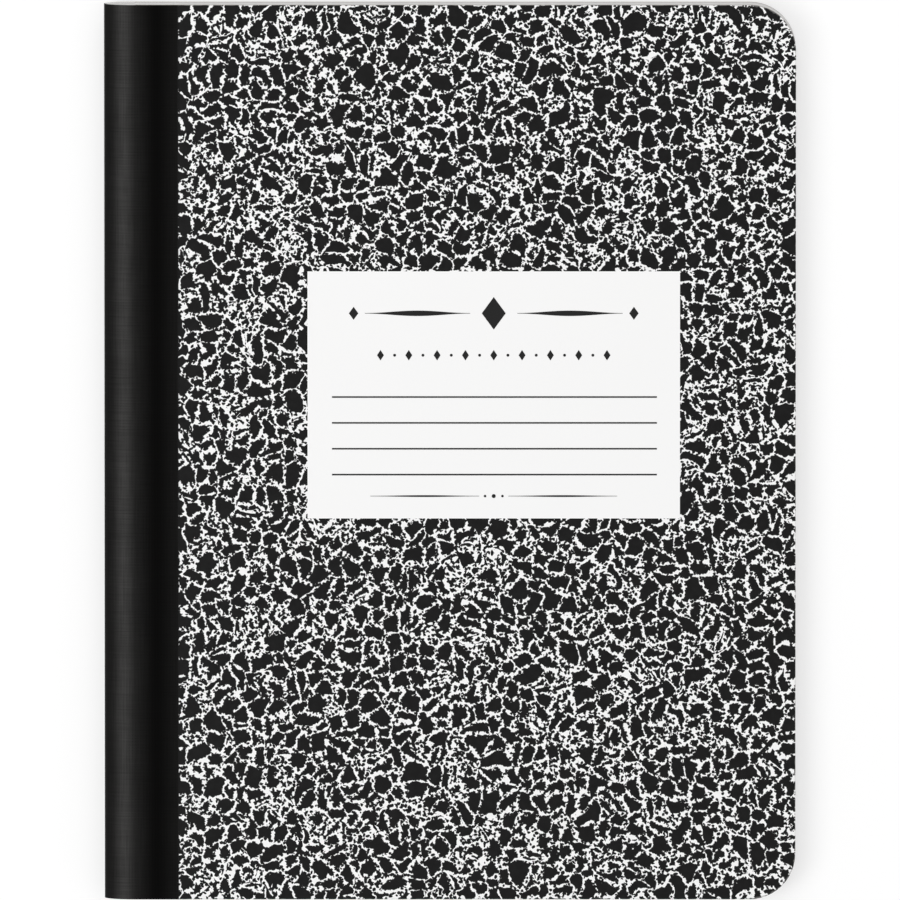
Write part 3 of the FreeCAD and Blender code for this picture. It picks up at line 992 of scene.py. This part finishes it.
@dataclass(frozen=True)
class BookPlaces:
    """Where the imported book's parts lie.

    Attributes:
        outline: The trimmed outline, with the spine at the outside of the tape.
        hinge: The X of both hinge lines.
        board_edge: The X at which the boards and their papers begin.
        tape_edge: The X of the tape's cut edge.
        top: The height of the book, and of the tape's outer face on the front cover.
        tape: The thickness of the tape.
        leaves_low: The height of the lowest leaf's lower face.
        leaves_high: The height of the highest leaf's upper face.
        fold_tip: The X of the outermost fold.
        print_low: The height at which the front cover's marbled paper is glued down.
        print_high: The height of its printed face.
    """

    outline: Outline
    hinge: float
    board_edge: float
    tape_edge: float
    top: float
    tape: float
    leaves_low: float
    leaves_high: float
    fold_tip: float
    print_low: float
    print_high: float

    @classmethod
    def measured(cls) -> "BookPlaces":
        """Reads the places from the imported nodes."""
        def box(node: str) -> tuple[Vector, Vector]:
            """Gives a node's corners in millimetres."""
            low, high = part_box(node)
            return low / MM, high / MM

        block, tape, wing = box("page_block"), box("spine_tape"), box("front_tape_wing")
        cover = box("front_cover_paper")
        return cls(
            outline=Outline(tape[0].x, block[1].x, block[1].y, CORNER_RADIUS),
            hinge=wing[0].x,
            board_edge=cover[0].x,
            tape_edge=wing[1].x,
            top=wing[1].z,
            tape=wing[1].z - wing[0].z,
            leaves_low=box("back_pastedown")[1].z,
            leaves_high=box("front_pastedown")[0].z,
            fold_tip=block[0].x,
            print_low=cover[0].z,
            print_high=cover[1].z,
        )

    @property
    def middle(self) -> float:
        """The height of the middle leaf."""
        return self.top / 2.0


# Pieces

@dataclass(frozen=True)
class FoldedSheets:
    """Fifty sheets folded together: trimmed edges outside, nested folds at the spine.

    A sheet's share is 0 at the middle of the book and 1 outside. The regions are parts of the
    maps that the faces take: the first three of the stack's, the last three of the outer sheet's.
    """

    book: BookPlaces
    sheets: int = 50
    gutter_depth: float = 3.86
    gutter_half: float = 0.36
    parting: float = 0.003
    shoulder: float = 0.28
    shoulder_steps: int = 5
    fold_steps: int = 14
    trim: float = 0.045
    margin: float = 31.75
    crease: float = 20.0
    seed: int = 11
    leaf_strip: float = 0.82
    edge_region: Region = (0.01, 0.01, 0.99, 0.70)
    inner_region: Region = (0.01, 0.72, 0.99, 0.84)
    outer_region: Region = (0.01, 0.86, 0.99, 0.98)
    page_region: Region = (0.01, 0.01, 0.99, 0.92)
    rim_region: Region = (0.01, 0.93, 0.99, 0.95)
    lining_region: Region = (0.01, 0.965, 0.99, 0.99)

    def profile(self, share: float) -> list[Place]:
        """Gives a sheet's upper half from the shoulder to the tip of the fold.

        Args:
            share: The sheet's share.

        Returns:
            Places of X and height above the middle leaf.
        """
        book = self.book
        leaves = (book.leaves_high - book.leaves_low) / 2.0
        swollen = book.top / 2.0 - book.tape
        flat = self.parting + (leaves - self.parting) * share
        nose = self.gutter_half + (swollen - self.gutter_half) * share
        depth = self.gutter_depth + (book.hinge - book.fold_tip - self.gutter_depth) * share
        line = []
        for step in range(self.shoulder_steps):
            part = step / self.shoulder_steps
            rise = part * part * (3.0 - 2.0 * part)
            line.append((book.hinge + self.shoulder * (1.0 - part), flat + (nose - flat) * rise))
        for step in range(self.fold_steps + 1):
            angle = math.radians(90.0 * step / self.fold_steps)
            line.append((book.hinge - depth * math.sin(angle), nose * math.cos(angle)))
        return line

    def head_line(self, share: float, inset: float) -> list[Point]:
        """Gives a sheet's head edge, from the upper fore edge round the fold to the lower one."""
        book = self.book
        profile = self.profile(share)
        lift = profile[0][1]
        stations = list(reversed(book.outline.stations(profile[0][0], inset)))[:-1]
        upper = [(x, y, book.middle + lift) for x, y in stations]
        upper += [(x, book.outline.head - inset, book.middle + height) for x, height in profile]
        lower = [(x, y, 2.0 * book.middle - z) for x, y, z in reversed(upper[:-1])]
        return upper + lower

    def ring(self, share: float, inset: float) -> list[Point]:
        """Gives a sheet's whole trimmed edge as a closed line."""
        head = self.head_line(share, inset)
        tail = [(x, -y, z) for x, y, z in reversed(head)]
        return head + tail + head[:1]

    def skin(self, mesh: PieceMesh, share: float, inset: float, region: Region) -> None:
        """Adds the face of a sheet, from the head to the tail.

        Args:
            mesh: The mesh that gets the faces.
            share: The sheet's share.
            inset: How far its edge lies inside the outline.
            region: The part of the map that it takes.
        """
        line = self.head_line(share, inset)
        tall = 2.0 * self.book.outline.head
        rows = [[(x, -y, z), (x, y, z)] for x, y, z in line]
        places = [[lay(region, part, (y + tall / 2.0) / tall) for _, y, _ in row]
                  for part, row in zip(shares([(x, z) for x, _, z in line]), rows)]
        known = {BAKE_MAP: places}
        if LEAF_MAP in mesh.places:
            known[LEAF_MAP] = [[(0.0, share * self.sheets)] * 2 for _ in rows]
        mesh.grid(rows, **known)

    def stack(self) -> bpy.types.Object:
        """Makes all sheets but the outer one as one terraced piece."""
        draw = random.Random(self.seed)
        mesh = PieceMesh(BAKE_MAP, LEAF_MAP)
        rows, bake, leaves = [], [], []
        insets = [draw.uniform(0.0, self.trim) for _ in range(self.sheets - 1)]
        for sheet, inset in enumerate(insets):
            for side, up in ((0, 0.0), (1, self.leaf_strip)):
                ring = self.ring((sheet + side) / self.sheets, inset)
                along = shares(ring)
                rows.append(ring)
                bake.append([lay(self.edge_region, part, (sheet + up) / self.sheets)
                             for part in along])
                leaves.append([(part, sheet + side) for part in along])
        mesh.grid(rows, **{BAKE_MAP: bake, LEAF_MAP: leaves})
        self.skin(mesh, 0.0, insets[0], self.inner_region)
        self.skin(mesh, 1.0 - 1.0 / self.sheets, insets[-1], self.outer_region)
        piece = mesh.piece("leaf_stack", [LeafEdges()], self.crease)
        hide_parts("page_block")
        return piece

    def outer_sheet(self) -> bpy.types.Object:
        """Makes the outer sheet, whose two leaves are the first and last page."""
        mesh = PieceMesh(BAKE_MAP)
        rows = [self.ring(1.0 - 1.0 / self.sheets, 0.0), self.ring(1.0, 0.0)]
        bake = [[lay(self.rim_region, part, up) for part in shares(rows[0])] for up in (0.0, 1.0)]
        mesh.grid(rows, **{BAKE_MAP: bake})
        self.skin(mesh, 1.0 - 1.0 / self.sheets, 0.0, self.lining_region)
        self.skin(mesh, 1.0, 0.0, self.page_region)
        outline = self.book.outline
        finish = RuledLeaf("ruled_leaf", outline, self.book.middle, outline.spine + self.margin,
                           outline.fore_edge - self.margin)
        piece = mesh.piece("outer_sheet", [finish], self.crease)
        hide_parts("page_block")
        return piece

    def build(self) -> list[bpy.types.Object]:
        """Builds the leaves and lets them ride on the pages."""
        pieces = [self.stack(), self.outer_sheet()]
        for piece in pieces:
            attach(piece, "pages")
        return pieces


class Side(Enum):
    """The two covers."""

    FRONT = "front"
    BACK = "back"


# Where each cover's paper is cut from the marbled sheet
PRINT_SHIFTS = {Side.FRONT: (210.0, 340.0, 0.0), Side.BACK: (-470.0, 95.0, 0.0)}


@dataclass(frozen=True)
class CoverPrint:
    """The marbled paper on one cover, a thin slab that fills its map with the printed face."""

    book: BookPlaces
    side: Side
    shift: Point
    print_region: Region = (0.004, 0.004, 0.96, 0.996)
    glued_region: Region = (0.965, 0.004, 0.975, 0.996)
    rim_region: Region = (0.98, 0.004, 0.995, 0.996)

    def build(self) -> bpy.types.Object:
        """Builds the paper and lets it ride on its cover."""
        book = self.book
        heights = (book.print_low, book.print_high)
        if self.side is Side.BACK:
            heights = (book.top - book.print_low, book.top - book.print_high)
        hidden, shown = heights
        stations = book.outline.stations(book.board_edge)
        tall = 2.0 * book.outline.head
        wide = book.outline.fore_edge - book.board_edge
        mesh = PieceMesh(BAKE_MAP)
        for z, finish, region in ((shown, 0, self.print_region), (hidden, 1, self.glued_region)):
            rows = [[(x, -y, z), (x, y, z)] for x, y in stations]
            places = [[lay(region, (x - book.board_edge) / wide, (y + tall / 2.0) / tall)
                       for x, y, _ in row] for row in rows]
            mesh.grid(rows, finish, **{BAKE_MAP: places})
        rim = stations + [(x, -y) for x, y in reversed(stations)]
        rim.append(rim[0])
        rows = [[(x, y, z) for x, y in rim] for z in (hidden, shown)]
        places = [[lay(self.rim_region, up, part) for part in shares(rim)] for up in (0.0, 1.0)]
        mesh.grid(rows, 1, **{BAKE_MAP: places})
        name = self.side.value
        finish = MarbledPrint(f"{name}_marbled_print", self.shift, book.outline)
        piece = mesh.piece(f"{name}_marbled_paper", [finish, PaperCore()])
        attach(piece, f"{name}_cover")
        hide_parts(f"{name}_cover_paper")
        return piece


@dataclass(frozen=True)
class TapeHalf:
    """One half of the tape, from its cut edge on a cover round to the middle of the spine.

    The wing's marks are distances from the hinge line at even shares of the wing, the fold's marks are
    the first angles of the nose in degrees.
    """

    book: BookPlaces
    side: Side
    wing_marks: tuple[float, ...] = (12.0, 11.8, 11.0, 9.0, 6.5, 4.0, 2.0, 1.0, 0.5, 0.3, 0.2, 0.1)
    fold_marks: tuple[float, ...] = (0.0, 0.7, 1.4, 2.1, 3.2)
    fold_steps: int = 28
    rows: int = 90
    wave: float = 0.035
    wave_length: float = 80.0
    wave_turns: tuple[float, ...] = (3.0, 7.0, 17.0, 31.0)
    wave_height: float = 1.4
    wave_inset: float = 1.5
    wave_power: int = 6
    shoulder: float = 15.2
    hinge_half: float = 0.3
    seed: int = 5
    outer_region: Region = (0.01, 0.01, 0.60, 0.99)
    inner_region: Region = (0.62, 0.01, 0.90, 0.99)
    cut_regions: tuple[Region, Region] = ((0.91, 0.01, 0.93, 0.99), (0.94, 0.01, 0.96, 0.99))
    end_regions: tuple[Region, Region] = ((0.965, 0.01, 0.975, 0.99), (0.98, 0.01, 0.99, 0.99))

    def profile(self, depth: float) -> list[Place]:
        """Gives the line from the cut edge to the middle of the spine.

        Args:
            depth: How far the line lies under the tape's outer face.

        Returns:
            Places of X and height above the book's middle.
        """
        book = self.book
        reach = book.tape_edge - book.hinge
        nose = (book.hinge - book.outline.spine - depth, book.top / 2.0 - depth)
        line = [(book.hinge + mark * reach / self.wing_marks[0], nose[1])
                for mark in self.wing_marks]
        last = self.fold_marks[-1]
        angles = list(self.fold_marks)
        angles += [last + (90.0 - last) * step / self.fold_steps
                   for step in range(1, self.fold_steps + 1)]
        line += [(book.hinge - nose[0] * math.sin(math.radians(angle)),
                  nose[1] * math.cos(math.radians(angle))) for angle in angles]
        return line

    def edge_wave(self, y: float) -> float:
        """Gives how far the cut edge strays from a straight line."""
        draw = random.Random(self.seed + (self.side is Side.BACK))
        total = 0.0
        for turns in self.wave_turns:
            phase = draw.uniform(0.0, math.tau)
            total += math.sin(turns * y / self.wave_length + phase) / turns ** 0.5
        return self.wave * total / self.wave_height

    def build(self) -> bpy.types.Object:
        """Builds the cloth."""
        book = self.book
        up = 1.0 if self.side is Side.FRONT else -1.0
        outer, inner = self.profile(0.0), self.profile(book.tape)
        length = shares(outer)
        total = sum(math.dist(a, b) for a, b in zip(outer, outer[1:]))
        head = book.outline.head
        levels = [head * (2.0 * row / self.rows - 1.0) for row in range(self.rows + 1)]
        reach = book.tape_edge - book.hinge

        def point(place: Place, y: float) -> Point:
            """Puts a place of the profile at one level along the spine."""
            x, height = place
            share = max(0.0, (x - book.hinge) / reach) ** self.wave_power
            stray = self.edge_wave(y) - self.wave * self.wave_inset
            return (x + stray * share, y, book.middle + up * height)

        def flat(row: Sequence[float], region: Region) -> dict[str, list]:
            """Lays a strip of the cloth on both maps."""
            bake = [[lay(region, part, (y + head) / (2.0 * head)) for part in row] for y in levels]
            cloth = [[(part * total * MM, y * MM) for part in row] for y in levels]
            return {BAKE_MAP: bake, CLOTH_MAP: cloth}

        mesh = PieceMesh(BAKE_MAP, CLOTH_MAP)
        for line, region in ((outer, self.outer_region), (inner, self.inner_region)):
            mesh.grid([[point(place, y) for place in line] for y in levels], **flat(length, region))
        for at, region in zip((0, -1), self.cut_regions):
            both = [[point(outer[at], y), point(inner[at], y)] for y in levels]
            places = flat([0.0, 1.0], region)
            places[CLOTH_MAP] = [[(length[at] * total * MM, y * MM)] * 2 for y in levels]
            mesh.grid(both, **places)
        for y, region in zip((-head, head), self.end_regions):
            rows = [[point(place, y) for place in line] for line in (outer, inner)]
            bake = [[lay(region, across, part) for part in length] for across in (0.0, 1.0)]
            cloth = [[(part * total * MM, y * MM) for part in length]] * 2
            mesh.grid(rows, **{BAKE_MAP: bake, CLOTH_MAP: cloth})
        name = self.side.value
        piece = mesh.piece(f"{name}_tape", [TapeCloth("coated_book_cloth", self.shoulder)])
        if self.side is Side.FRONT:
            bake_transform(piece)
        else:
            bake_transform(piece)
        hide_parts("spine_tape", f"{name}_tape_wing")
        return piece


@dataclass(frozen=True)
class PanelOrnament:
    """A generic printer's ornament on the panel: swelled rules, lozenges and dots.

    The drops are distances from the panel's top edge, the offsets are distances from its middle,
    and a shape's size is its width and height.
    """

    thick: float = 0.03
    rule_tip: float = 0.06
    steps: int = 24
    head_drop: float = 11.6
    row_drop: float = 23.2
    foot_drop: float = 62.2
    large_lozenge: Span = (6.6, 9.0)
    end_lozenge: Span = (2.6, 3.6)
    end_offset: float = 38.6
    small_lozenge: Span = (1.9, 2.9)
    head_rule: Span = (29.0, 1.5)
    head_rule_offset: float = 21.0
    foot_rule: Span = (30.0, 0.5)
    foot_rule_offset: float = 19.0
    row_half: int = 8
    row_pitch: float = 3.9
    row_dot: float = 0.8
    foot_dot: float = 1.1
    foot_side_dot: float = 0.7
    foot_dot_offset: float = 2.4

    def lozenge(self, centre: Place, size: Span) -> list[Place]:
        """Gives a lozenge's corners."""
        x, y = centre
        wide, tall = size[0] / 2.0, size[1] / 2.0
        return [(x - wide, y), (x, y - tall), (x + wide, y), (x, y + tall)]

    def dot(self, centre: Place, wide: float) -> list[Place]:
        """Gives a dot's outline."""
        x, y = centre
        turns = [math.tau * at / self.steps for at in range(self.steps)]
        return [(x + wide / 2.0 * math.cos(turn), y + wide / 2.0 * math.sin(turn)) for turn in turns]

    def swelled_rule(self, centre: Place, size: Span) -> list[Place]:
        """Gives the outline of a rule that is thickest at its middle."""
        x, y = centre
        wide, swelling = size[0], size[1] / 2.0 - self.rule_tip
        upper = []
        for at in range(self.steps + 1):
            part = at / self.steps
            half = self.rule_tip + swelling * math.sin(math.pi * part) ** 2
            upper.append((x + wide * (part - 0.5), y + half))
        return upper + [(px, 2.0 * y - py) for px, py in reversed(upper)]

    def shapes(self, middle: float, top: float) -> list[list[Place]]:
        """Gives every shape's outline, placed from the middle of the panel's top edge."""
        head, row, foot = (top - drop for drop in (self.head_drop, self.row_drop, self.foot_drop))
        shapes = [self.lozenge((middle, head), self.large_lozenge)]
        for side in (-1.0, 1.0):
            head_rule = (middle + side * self.head_rule_offset, head)
            foot_rule = (middle + side * self.foot_rule_offset, foot)
            shapes.append(self.swelled_rule(head_rule, self.head_rule))
            shapes.append(self.lozenge((middle + side * self.end_offset, head), self.end_lozenge))
            shapes.append(self.swelled_rule(foot_rule, self.foot_rule))
        for at in range(-self.row_half, self.row_half + 1):
            spot = (middle + at * self.row_pitch, row)
            if at % 2 == 0:
                shapes.append(self.lozenge(spot, self.small_lozenge))
            else:
                shapes.append(self.dot(spot, self.row_dot))
        shapes.append(self.dot((middle, foot), self.foot_dot))
        for side in (-1.0, 1.0):
            spot = (middle + side * self.foot_dot_offset, foot)
            shapes.append(self.dot(spot, self.foot_side_dot))
        return shapes

    def build(self) -> bpy.types.Object:
        """Builds the ornament as thin raised ink and lets it ride on the front cover."""
        low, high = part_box("title_panel")
        base = high.z / MM
        mesh = PieceMesh()
        for shape in self.shapes((low.x + high.x) / 2.0 / MM, high.y / MM):
            bottom = [(x, y, base) for x, y in shape]
            upper = [(x, y, base + self.thick) for x, y in shape]
            mesh.face(bottom)
            mesh.face(upper)
            mesh.grid([bottom + bottom[:1], upper + upper[:1]])
        piece = mesh.piece("panel_ornament", [PrintedInk()])
        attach(piece, "front_cover")
        return piece


@dataclass(frozen=True)
class CarriedNodes:
    """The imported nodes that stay, each with its finish."""

    def finishes(self) -> dict[str, Finish]:
        """Gives each node's finish."""
        board, thread = Chipboard(), TwistedThread()
        pastedown = PlainPaper("pastedown_paper", white=0.78, gloss=0.25, roughness=0.82)
        panel = PlainPaper("panel_paper", white=0.925, gloss=0.12, roughness=0.5, change=0.008)
        return {
            "front_board": board,
            "back_board": board,
            "front_pastedown": pastedown,
            "back_pastedown": pastedown,
            "title_panel": panel,
            "writing_lines": PrintedInk(),
            "needle_thread": thread,
            "bobbin_thread": thread,
        }

    def build(self) -> list[bpy.types.Object]:
        """Gives every carried node its material."""
        dressed = []
        for name, finish in self.finishes().items():
            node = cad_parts[name]
            for slot in node.material_slots:
                slot.material = finish.material()
            dressed.append(node)
        return dressed


# Studio

@dataclass(frozen=True)
class Softbox:
    """A soft rectangular lamp that faces a target.

    The tilt says how far it hangs toward +X and toward +Y from straight above, in degrees. Its
    distance and its size are in metres.
    """

    name: str
    tilt: tuple[float, float]
    away: float
    size: tuple[float, float]
    radiance: float

    def build(self, target: Vector) -> bpy.types.Object:
        """Hangs the lamp.

        Args:
            target: The point that it faces, in metres.

        Returns:
            The lamp.
        """
        data = bpy.data.lights.new(self.name, "AREA")
        data.shape = "RECTANGLE"
        data.size, data.size_y = self.size
        data.energy = self.radiance * math.pi * self.size[0] * self.size[1]
        lamp = bpy.data.objects.new(self.name, data)
        bpy.context.scene.collection.objects.link(lamp)
        side, forward = (math.tan(math.radians(angle)) for angle in self.tilt)
        way = Vector((side, forward, 1.0)).normalized()
        lamp.location = target + way * self.away
        lamp.rotation_euler = way.to_track_quat("Z", "Y").to_euler()
        lamp.visible_camera = False
        return lamp


@dataclass(frozen=True)
class Studio:
    """The pale floor, the lamps, the white surround and the camera.

    The camera hangs away metres from the cover, leans by the tilt in degrees, and sees a square
    whose side is across at that distance.
    """

    book: BookPlaces
    tilt: float = 5.8
    away: float = 9.0
    across: float = 247.95
    lift: float = 0.80
    sensor: float = 36.0
    clip_end: float = 40.0
    floor_reach: float = 6000.0
    floor_drop: float = 1.3
    floor_slope: Span = (-1.6, -0.2)
    world_light: float = 0.58
    lamps: tuple[Softbox, ...] = (
        Softbox("left_softbox", (-28.0, -7.0), 2.4, (1.0, 1.4), 4.5),
        Softbox("head_softbox", (0.0, 60.0), 2.4, (1.6, 0.8), 4.2),
    )

    def floor(self) -> bpy.types.Object:
        """Builds the floor, a little lower left of the hinge, where an opened back cover lies."""
        reach = self.floor_reach
        foot, crest = (self.book.hinge + at for at in self.floor_slope)
        line = [(-reach, -self.floor_drop), (foot, -self.floor_drop), (crest, 0.0), (reach, 0.0)]
        mesh = PieceMesh()
        mesh.grid([[(x, y, z) for x, z in line] for y in (reach, -reach)])
        floor = mesh.piece("pale_floor", [PaleFloor()])
        if floor.data.polygons[0].normal.z < 0.0:
            floor.data.flip_normals()
        return floor

    def surround(self) -> None:
        """Sets a world that lights softly and looks white."""
        world = bpy.data.worlds.new("white_surround")
        bpy.context.scene.world = world
        world.use_nodes = True
        world.node_tree.nodes.clear()
        tree = Tree(world.node_tree)
        ground = tree.add("Background")
        strength = tree.math("MULTIPLY_ADD", tree.seen(), 1.0 - self.world_light, self.world_light)
        tree.feed(ground.inputs["Strength"], strength)
        ground.inputs["Color"].default_value = grey(1.0)
        out = tree.add("OutputWorld")
        tree.feed(out.inputs["Surface"], ground.outputs[0])

    def camera(self) -> bpy.types.Object:
        """Hangs the camera over the cover, leaning toward the head."""
        data = bpy.data.cameras.new("camera")
        data.sensor_width = self.sensor
        data.lens = self.sensor * self.away / (self.across * MM)
        data.clip_end = self.clip_end
        camera = bpy.data.objects.new("camera", data)
        bpy.context.scene.collection.objects.link(camera)
        lean = math.radians(self.tilt)
        target = Vector((0.0, self.lift * MM, self.book.top * MM))
        camera.location = target + self.away * Vector((0.0, math.sin(lean), math.cos(lean)))
        camera.rotation_euler = (-lean, 0.0, 0.0)
        bpy.context.scene.camera = camera
        return camera

    def build(self) -> None:
        """Builds the studio."""
        self.floor()
        self.surround()
        self.camera()
        target = Vector((0.0, 0.0, self.book.top * MM))
        for lamp in self.lamps:
            lamp.build(target)
        bpy.context.scene.view_settings.view_transform = "Standard"


def report(piece: bpy.types.Object) -> None:
    """Logs a piece's name and size."""
    size = " x ".join(f"{value / MM:.2f}" for value in piece.dimensions)
    log.info("%s: %d faces, %s mm", piece.name, len(piece.data.polygons), size)


def main() -> None:
    """Builds the notebook's pieces in order, then the studio."""
    logging.basicConfig(level=logging.INFO, format="%(name)s: %(message)s")
    book = BookPlaces.measured()
    pieces = FoldedSheets(book).build()
    for side, shift in PRINT_SHIFTS.items():
        pieces.append(CoverPrint(book, side, shift).build())
    for side in Side:
        pieces.append(TapeHalf(book, side).build())
    pieces.append(PanelOrnament().build())
    pieces.extend(CarriedNodes().build())
    for piece in pieces:
        report(piece)
    Studio(book).build()


if __name__ == "__main__":
    main()
